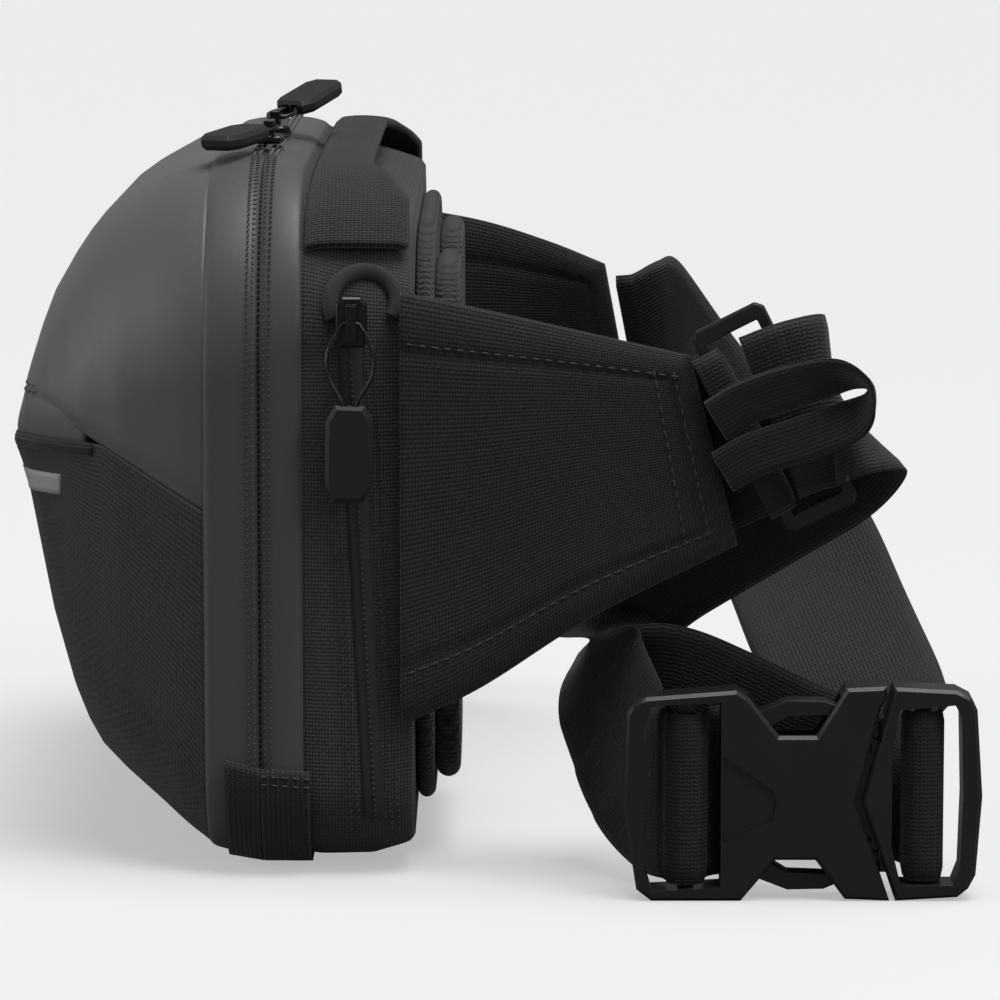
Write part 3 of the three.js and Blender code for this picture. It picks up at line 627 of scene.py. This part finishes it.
def pocket_mouth(y):
    return np.interp(-y, [0, 28, 62, 90], [101, 101, 120.2, 120.2])


# %% Upper panel
def panel_columns(y, count=261):
    start = height_to_s(y, panel_seam(y)) if outline_at(y)[2] > panel_seam(y) else 0.8
    right = np.linspace(start, 1, count // 2 + 1)
    return np.concatenate([right, -right[::-1][1:]])


panel_rows = np.concatenate([np.linspace(-31.9, -64, 22), np.linspace(-65, -85.3, 26)])


def band_dip(i):
    """The cloth sinks into the seam beside the band."""
    return 1.2 * math.exp(-((i / 0.06) ** 2))


upper = skin_grid(panel_rows, panel_columns, lambda i, j: seam_roll(j, 0.8, 0.02) + 0.6 - band_dip(i))
dress(cloth("upper_panel_cloth", upper, FRONT_SHELL, COATED, INSIDE), "front", "coated_fabric", "upper_panel")


# %% Front pocket
def pocket_columns(y, count=261):
    end = height_to_s(y, pocket_mouth(y)) if outline_at(y)[2] > pocket_mouth(y) else 0.8
    return np.linspace(-end, end, count)


pocket_rows = np.concatenate([np.linspace(-31.9, -64, 20), np.linspace(-65, -88.4, 30)])
pocket = skin_grid(pocket_rows, pocket_columns, lambda i, j: 0.5 - band_dip(i))
dress(cloth("pocket_cloth", pocket, FRONT_SHELL, CORDURA, INSIDE), "front", "cordura", "front_pocket")


# %% Level curves round the front
def front_contour(z, count=181, spread=78, lift=0.0):
    """Where the bag's skin lies at height z, from its left side round the front to its right side."""
    points = []
    for angle in np.linspace(-spread, spread, count):
        direction = np.array([-math.sin(math.radians(angle)) * 1.6, -math.cos(math.radians(angle))])
        near, far = 0.0, 160.0
        for _ in range(30):
            middle = (near + far) / 2
            x, y = abs(direction[0] * middle), -40 + direction[1] * middle
            half, low, high, low_r, high_r = outline_at(y)
            if y < -88.4 or not low < z < high:
                inside = False
            else:
                sink = max(low + low_r - z, z - (high - high_r), 0)
                radius = low_r if z < (low + high) / 2 else high_r
                inside = x < half - radius + math.sqrt(max(radius ** 2 - sink ** 2, 0))
            near, far = (middle, far) if inside else (near, middle)
        out = direction / np.linalg.norm(direction)
        points.append([direction[0] * near + out[0] * lift, -40 + direction[1] * near + out[1] * lift, z])
    return np.array(points)


# %% Flap, pocket lip and reflective strip
flap = np.array([front_contour(z, spread=70, lift=-0.9 + 0.9 * math.sin(math.pi * k)) for k, z in
                 zip(np.linspace(0, 1, 12), np.linspace(118.8, 138, 12))]) * MM
dress(cloth("pocket_flap_cloth", flap, 0.0016, COATED, INSIDE), "front", "coated_fabric", "pocket_flap")

lip = np.array([front_contour(z, spread=72, lift=0.4 + 0.9 * math.sin(math.pi * k)) for k, z in
                zip(np.linspace(0, 1, 9), np.linspace(116.6, 120.6, 9))]) * MM
dress(cloth("pocket_lip", lip, 0.0016, WEBBING, INSIDE), "front", "cordura", "pocket_binding")

arcs = [front_contour(z, spread=56, lift=0.15) * MM for z in (134.5, 132.6)]
row_of("flap_stitches", arcs, "front", "coated_fabric", pitch=0.0034, along=0.0025)

strip = np.array([front_contour(z, spread=64, lift=0.75) for z in np.linspace(104.8, 110.6, 5)]) * MM
dress(cloth("reflective_band", strip, 0.0006, REFLECTIVE, INSIDE), "front", "reflective", "reflective_strip")

# %% [markdown]
# ## Belt parts
# Flat webbing is a ribbon: a route through space and, at each stop, the direction of its width. The same
# stops as the frame's straps are used, so each strap lies where its solid does.

# %% Smooth routes
def spline(stops, count):
    """A smooth curve through stops, spread by distance, as count rows. A stop may hold more than a place."""
    stops = np.array(stops, float)
    gaps = np.maximum(np.linalg.norm(np.diff(stops[:, :3], axis=0), axis=1), 1e-6) ** 0.5
    knots = np.concatenate([[0], np.cumsum(gaps)])
    ends = np.concatenate([[2 * stops[0] - stops[1]], stops, [2 * stops[-1] - stops[-2]]])
    times = np.concatenate([[knots[0] - gaps[0]], knots, [knots[-1] + gaps[-1]]])
    rows = []
    for t in np.linspace(knots[0], knots[-1], count * 4):
        i = min(max(np.searchsorted(knots, t, side="right") - 1, 0), len(stops) - 2)
        t0, t1, t2, t3 = times[i:i + 4]
        p0, p1, p2, p3 = ends[i:i + 4]
        m1 = (p2 - p1) / (t2 - t1) - (p2 - p0) / (t2 - t0) + (p1 - p0) / (t1 - t0)
        m2 = (p3 - p2) / (t3 - t2) - (p3 - p1) / (t3 - t1) + (p2 - p1) / (t2 - t1)
        u = (t - t1) / (t2 - t1)
        span = t2 - t1
        rows.append((2 * u**3 - 3 * u**2 + 1) * p1 + (u**3 - 2 * u**2 + u) * span * m1
                    + (-2 * u**3 + 3 * u**2) * p2 + (u**3 - u**2) * span * m2)
    rows = np.array(rows)
    run = np.concatenate([[0], np.cumsum(np.linalg.norm(np.diff(rows[:, :3], axis=0), axis=1))])
    even = np.linspace(0, run[-1], count)
    return np.stack([np.interp(even, run, rows[:, k]) for k in range(rows.shape[1])], axis=1)


def ribbon(name, stops, width, thick, material, count=160, across=14, bulge=0.0):
    """Webbing along a route in mm, with rounded edges."""
    rows = spline(stops, count)
    centre = rows[:, :3]
    tangent = np.gradient(centre, axis=0)
    tangent /= np.linalg.norm(tangent, axis=1, keepdims=True)
    side = rows[:, 3:6] - (rows[:, 3:6] * tangent).sum(axis=1, keepdims=True) * tangent
    side /= np.linalg.norm(side, axis=1, keepdims=True)
    face = np.cross(tangent, side)
    run = np.concatenate([[0], np.cumsum(np.linalg.norm(np.diff(centre, axis=0), axis=1))])
    profile = []
    for k in range(across + 1):
        t = k / across * 2 - 1
        edge = 1 - 0.75 * max(abs(t) - 0.93, 0) / 0.07
        dome = math.sqrt(max(1 - t * t, 0.03))
        profile.append((t * width / 2, thick / 2 * (edge * (1 - bulge) + dome * bulge)))
    loop = profile + [(a, -b) for a, b in reversed(profile)]
    grid = np.array([[centre[i] + side[i] * a + face[i] * b for a, b in loop + loop[:1]]
                     for i in range(count)])
    around = np.concatenate([[0], np.cumsum([math.dist(p, q) for p, q in zip(loop, loop[1:] + loop[:1])])])
    uv = np.stack([np.repeat(run[:, None], len(around), 1), np.repeat(around[None], count, 0)], axis=-1) * MM
    index = np.arange(count * len(around)).reshape(count, len(around))
    a, b, c, d = index[:-1, :-1], index[:-1, 1:], index[1:, 1:], index[1:, :-1]
    faces = np.stack([a, b, c, d], axis=-1).reshape(-1, 4).tolist()
    faces += [index[0, :-1].tolist()[::-1], index[-1, :-1].tolist()]
    made = put_mesh(name, grid.reshape(-1, 3) * MM, faces, uv.reshape(-1, 2), material)
    merge(made, 1e-7)
    print(name, "is", round(run[-1]), "mm of webbing")
    return made


# %% Straps
STRAP, STRAP_THICK = 47.5, 1.8
NEAR_STRAP = [
    (160.6, 123.5, 132.4, 0, -0.475, 0.88), (160.9, 133, 136, 0, -0.52, 0.85), (159, 141.5, 137.2, 0, -0.54, 0.84),
    (152, 144.6, 133, 0, -0.54, 0.84), (143, 139.1, 122.8, 0, -0.5, 0.87), (133, 119.8, 108.8, 0, -0.5, 0.87),
    (126.5, 103, 97.5, 0, -0.55, 0.83), (122.5, 90, 88.5, 0, -0.55, 0.83), (120.5, 80.5, 80, 0, -0.5, 0.85),
    (121.5, 76.5, 72, 0.1, -0.3, 0.9), (123, 76.3, 62.5, 0.02, 0, 0.95), (128.5, 78.2, 54, 0.05, 0.2, 0.95),
    (139, 82, 44.5, 0.15, 0.25, 0.95), (147.5, 86.5, 34.5, 0.1, 0.15, 0.97), (154, 91.2, 28, 0, 0, 1),
    (159.5, 94.8, 27.9, 0, 0, 1), (163, 95.9, 28, 0, 0, 1), (166.5, 96.3, 28, 0, 0, 1),
    (168.6, 98.6, 28, 0, 0, 1), (169, 101, 28, 0, 0, 1), (168.6, 103.4, 28, 0, 0, 1),
    (166.5, 105.7, 28, 0, 0, 1), (163, 106.1, 28, 0, 0, 1), (158, 107.2, 28, 0, 0, 1),
    (154.6, 111.5, 28, 0, 0, 1), (153.4, 119, 28, 0, 0, 1),
]
TAIL = [(138, 89, 47, 0, 0, 1), (141.5, 96, 48.5, 0, 0.12, 1), (146, 111.2, 43, 0, 0.22, 1),
        (148.5, 131, 34, 0, 0.2, 1), (149.5, 146, 29.5, 0, 0.1, 1)]
FAR_STRAP = [
    (-111.4, 92.4, 122.2, 0.1, -0.1, 0.98), (-104, 98, 123.5, 0, -0.15, 1), (-88, 104, 129, 0, -0.1, 1),
    (-60, 108, 132, 0, -0.1, 1), (0, 115.5, 112.7, 0, 0.3, 0.95), (38, 126, 97.5, 0, 0.6, 0.8),
    (70, 137, 82, 0, 0.84, 0.54), (98, 144, 66.5, 0.05, 0.95, 0.3), (118, 150, 53.5, 0.05, 0.95, 0.3),
    (133, 155, 42, 0, 0.75, 0.66), (143, 160, 32, 0, 0.3, 0.95), (148.5, 164, 28.9, 0, 0, 1),
    (152.6, 167.6, 28.8, 0, 0, 1),
]
FAR_END = [
    (153.7, 168.8, 28.8, 0, 0, 1), (156, 170.4, 28.8, 0, 0, 1), (160, 171.3, 28.8, 0, 0, 1),
    (163.5, 171.2, 28.8, 0, 0, 1), (166.5, 170.7, 28.8, 0, 0, 1), (168.6, 168.4, 28.8, 0, 0, 1),
    (169, 166, 28.8, 0, 0, 1), (168.6, 163.6, 28.8, 0, 0, 1), (166.5, 161.8, 28.8, 0, 0, 1),
    (163, 161.7, 28.8, 0, 0, 1), (158.4, 161.5, 28.8, 0, 0, 1),
]
FINGER = [
    (158.9, 109, 131.5, 0, -0.3, 0.95), (163.5, 117, 137, 0.1, -0.35, 0.93), (168.5, 131, 142.5, 0.2, -0.3, 0.93),
    (171, 143, 145, 0.6, -0.2, 0.75), (171.5, 150.5, 141.5, 1, 0, 0.1), (171, 147, 134.5, 0.6, 0.2, -0.75),
    (168.5, 133, 128, 0.2, 0.3, -0.93), (163.5, 119, 122.6, 0.1, 0.3, -0.93), (158.9, 111, 117.3, 0, 0.3, -0.95),
]
dress(ribbon("strap_near", NEAR_STRAP, STRAP, STRAP_THICK, WEBBING, 300), "bag", "webbing", "near_strap")
dress(ribbon("strap_tail_end", TAIL, STRAP, STRAP_THICK, WEBBING, 60), "bag", "webbing", "strap_tail")
far = ribbon("strap_far", FAR_STRAP + FAR_END, STRAP, STRAP_THICK, WEBBING, 300)
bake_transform(far)
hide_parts("far_strap", "far_strap_end")
dress(ribbon("pull_loop", FINGER, 12.5, 1.6, WEBBING, 120, 8), "bag", "webbing", "finger_loop")

# %% Webbing stub round the adjuster
ALONG, ACROSS, LOOP_AT = np.array([0, 0.893, 0.45]), np.array([0, -0.45, 0.893]), np.array([0, 125.5, 131.8])
STUB = [(144.2, -29), (145, -22), (146.2, -16.5), (149, -11.5), (150.6, -7), (153, -5.6), (155.5, -7),
        (156.4, -9.5), (156.5, -13.5)]
stub_stops = [[x, *(LOOP_AT + ALONG * a)[1:], *ACROSS] for x, a in STUB]
dress(ribbon("wing_stub", stub_stops, 49, STRAP_THICK, WEBBING, 60), "bag", "webbing", "webbing_stub")

# %% Wings
def wing_cloth(name, lower, upper, node):
    rows, columns, thick = 60, 70, 5.0
    low, high = spline(lower, rows), spline(upper, rows)
    share = np.linspace(0, 1, columns)[None, :, None]
    grid = low[:, None] + (high - low)[:, None] * share
    normal = grid_normals(grid)
    if normal[..., 0].mean() * lower[0][0] < 0:
        normal = -normal
    i, j = np.meshgrid(np.linspace(0, 1, rows), np.linspace(0, 1, columns), indexing="ij")
    edge = np.minimum.reduce([(1 - i) * 90, j * 60, (1 - j) * 60]) / 3.2
    puff = thick / 2 * np.clip(1 - np.exp(-edge * 1.6), 0.22, 1)
    puff = puff - 0.7 * np.exp(-((edge * 3.2 - 8) / 1.0) ** 2)
    front = grid + normal * puff[..., None]
    rear = grid - normal * puff[..., None]
    flat = lengths(grid * MM).reshape(-1, 2)
    index = np.arange(rows * columns).reshape(rows, columns)
    total = rows * columns
    a, b, c, d = index[:-1, :-1], index[:-1, 1:], index[1:, 1:], index[1:, :-1]
    outer = np.stack([a, b, c, d], axis=-1).reshape(-1, 4)
    ring = np.concatenate([index[0, :-1], index[:-1, -1], index[-1, :0:-1], index[:0:-1, 0]])
    rim = [[p, q, q + total, p + total] for p, q in zip(ring, np.roll(ring, -1))]
    faces = outer.tolist() + (outer[:, ::-1] + total).tolist() + rim
    points = np.concatenate([front.reshape(-1, 3), rear.reshape(-1, 3)]) * MM
    made = put_mesh(name, points, faces, np.concatenate([flat, flat]), WING_CLOTH)
    merge(made, 1e-7)
    dress(made, "bag", "cordura", node)
    first, last = 8, columns - 9
    seams = [front[2:-4, first], front[2:-4, last], front[-5, first:last + 1], front[-9, first:last + 1]]
    clear = np.sign(lower[0][0]) * np.array([0.15, 0, 0])
    row_of(name + "_stitches", [(path + clear) * MM for path in seams], "bag", "cordura",
           pitch=0.0034, along=0.0025)
    return made


wing_cloth("left_wing", [(141, 22.5, 43.5), (143.5, 43.9, 54.3), (147.5, 74.9, 74.9), (151.5, 115.6, 96.2)],
           [(141, 22.5, 165.2), (143.5, 48, 160), (147.5, 75, 154.3), (151.5, 102.2, 148.6)], "wing_left")
wing_cloth("right_wing", [(-141, 22.5, 43.5), (-139.5, 43, 54.3), (-131, 70, 73), (-112, 94, 95.5)],
           [(-141, 22.5, 165.2), (-139.5, 45, 161), (-131.5, 66, 155), (-116, 84, 149)], "wing_right")

# %% [markdown]
# ## Handle, tabs, side zips and back
# The handle is one coarse cloth panel that runs over the top like a saddle. The tab under the bag is
# webbing, folded round its lowest edge. On each side a short zip ends under a small hood, where its slider
# parks.

# %% Handle
HANDLE_TOP = 198.6


def handle_grid(rows=20, columns=170):
    side = np.linspace(height_to_s(10, 172.5), 1, columns // 2)
    ring = np.concatenate([side, -side[::-1][1:]])
    grid = np.zeros((rows, len(ring), 3))
    for j, s in enumerate(ring):
        x = abs(form_point(10, s, 0, HANDLE_TOP)[0])
        front, rear = np.interp(x, [100, 124], [-2.6, -4.2]), np.interp(x, [92, 118], [14, 24.6])
        sag = 1.6 * (x / 100) ** 2 if x < 100 else 1.6
        for i, t in enumerate(np.linspace(0, 1, rows)):
            lift = 2.6 + seam_roll(t, 1.4, 0.1) + 0.8 * math.sin(math.pi * t)
            grid[i, j] = form_point(front + (rear - front) * t, s, lift, HANDLE_TOP - 2.6)
            grid[i, j, 2] -= 0.4 * sag
    return grid * MM


dress(cloth("handle_cloth", handle_grid(), 0.0022, HANDLE_CLOTH, INSIDE), "bag", "cordura", "grab_handle")


# %% Webbing tab under the bag
def tab_grid(y0, y1, top, rows=14, columns=120):
    s0 = height_to_s(-17, top)
    return skin_grid(np.linspace(y0, y1, rows), lambda y: np.linspace(-s0, s0, columns), 2.1)


for name, y0, y1, body, node in (("base_tab_cloth", -3.2, -16.85, "bag", "base_tab_rear"),
                                 ("base_tab_cloth_front", -17.15, -26.8, "front", "base_tab_front")):
    dress(cloth(name, tab_grid(y0, y1, 31.5), 0.0016, TAB_WEBBING, INSIDE), body, "webbing", node)
for side in (1, -1):
    tab_s = [side * height_to_s(-17, z) for z in (29.6, 27.4)]
    paths = [[form_point(y, s, 2.25) * MM for y in np.linspace(-4, -16, 12)] for s in tab_s]
    word = "left" if side > 0 else "right"
    row_of(f"tab_stitches_{word}", paths, "bag", "webbing", pitch=0.0026, along=0.002)


# %% Side zips with their hoods
def side_path(side, y_of, z_values, lift):
    return np.array([form_point(y_of(z), side * height_to_s(y_of(z), z), lift) for z in z_values])


def zip_y(z):
    return np.interp(z, [16, 160], [15, 8])


for side, word in ((1, "left"), (-1, "right")):
    heights = np.linspace(16.5, 158, 60)
    tape = np.array([[side_path(side, lambda z: zip_y(z) + dy, [z], 0.9 - 0.5 * abs(dy) / 3)[0]
                      for dy in np.linspace(-3, 3, 7)] for z in heights]) * MM
    dress(cloth(f"side_tape_{word}", tape, 0.0006, TAPE, INSIDE), "bag", "zip_tape", f"side_zip_{word}")
    row_of(f"side_teeth_{word}", [side_path(side, zip_y, heights, 1.0) * MM], "bag", "zip_tape",
           pitch=0.0016, along=0.0011, across=0.0012, material=TAPE)
    marks = [side_path(side, lambda z: zip_y(z) + dy, np.linspace(12, 152, 60), 0.9) * MM
             for dy in (-6.6, -4.6, 4.6, 6.6)]
    row_of(f"side_dashes_{word}", marks, "bag", "zip_tape", pitch=0.0021, along=0.0011,
           across=0.0005, axis="Y")
    arch = []
    for degrees in np.linspace(-28, 208, 40):
        a = math.radians(degrees)
        y, z = 13 + 9.2 * math.cos(a) - 0.8, 161.5 + 8.2 * math.sin(a)
        at = form_point(y, side * height_to_s(y, z), 1.1)
        arch.append((*at, 0, math.cos(a), math.sin(a)))
    hood = ribbon(f"hood_{word}", arch, 4.6, 2.6, FELT, 70, 10, bulge=1.0)
    dress(hood, "bag", "cordura", f"zip_garage_{word}")


# %% Padded back
def pillow(name, x, half, low, high, near_y, far_y, radius, material, node):
    """A flat cushion with rounded corners; its edges close."""
    rings, around, edge = 16, 96, (far_y - near_y) / 2
    middle, points, uvs, faces = (low + high) / 2, [], [], []
    tall = (high - low) / 2
    for face in (1, -1):
        for k in range(rings + 1):
            roll = max(k / rings - 0.5, 0) * math.pi
            inset = edge * (1 - math.sin(roll))
            if k <= rings / 2:
                inset = edge + (tall - edge) * (1 - 2 * k / rings)
            r = (tall - inset) / tall
            for m in range(around):
                a = 2 * math.pi * m / around
                c, d = math.cos(a), math.sin(a)
                stretch = 1 / (abs(c) ** 5 + abs(d) ** 5) ** 0.2
                px, pz = x + half * r * c * stretch, middle + tall * r * d * stretch
                y = (near_y + far_y) / 2 + face * edge * math.cos(roll)
                points.append((px * MM, y * MM, pz * MM))
                uvs.append((px * MM, pz * MM))
    for f, offset in ((0, 0), (1, (rings + 1) * around)):
        for k in range(rings):
            for m in range(around):
                a, b = offset + k * around + m, offset + k * around + (m + 1) % around
                quad = [a, a + around, b + around, b]
                faces.append(quad if f else quad[::-1])
    made = put_mesh(name, points, faces, uvs, material)
    merge(made, 2e-6)
    dress(made, "bag", "foam", node)
    return made


pillow("back_cushion", 0, 122, 9, 178, 26.2, 31.4, 26, BACK_MESH, "back_panel")
pillow("back_pad_cloth_left", 60, 51, 18, 168, 31.5, 38.7, 20, BACK_MESH, "back_pad_left")
pillow("back_pad_cloth_right", -60, 51, 18, 168, 31.5, 38.7, 20, BACK_MESH, "back_pad_right")

# %% Hardware with rounded edges
softened("buckle_housing", 1.6, BUCKLE, "bag", "buckle_plastic", 4)
softened("buckle_frame", 1.6, BUCKLE, "buckle_male", "buckle_plastic", 4)
softened("latch_arm_upper", 0.5, BUCKLE, "latch_upper", "buckle_plastic")
softened("latch_arm_lower", 0.5, BUCKLE, "latch_lower", "buckle_plastic")
softened("adjuster_loop", 0.8, BUCKLE, "bag", "buckle_plastic")
for zip_name in ("side_slider_left", "side_slider_right", "main_slider_near", "main_slider_far"):
    softened(zip_name, 0.45, GLOSS_METAL, zip_name, "slider_metal")
    pull = zip_name.replace("slider", "pull")
    softened(pull.replace("pull", "pull_tab"), 0.7, RUBBER, pull, "pull_rubber")
    softened(pull.replace("pull", "pull_cord"), 0.2, CORD_SKIN, pull, "cord", 2, 60)

# %% Finishes for the CAD nodes that keep their shape
for node, material in (("frame_sheet", SHEET_PLASTIC), ("padded_divider", LINING)):
    CAD_NODES[node].data.materials.clear()
    CAD_NODES[node].data.materials.append(material)
print("kept from the frame: the stiffener and the divider")
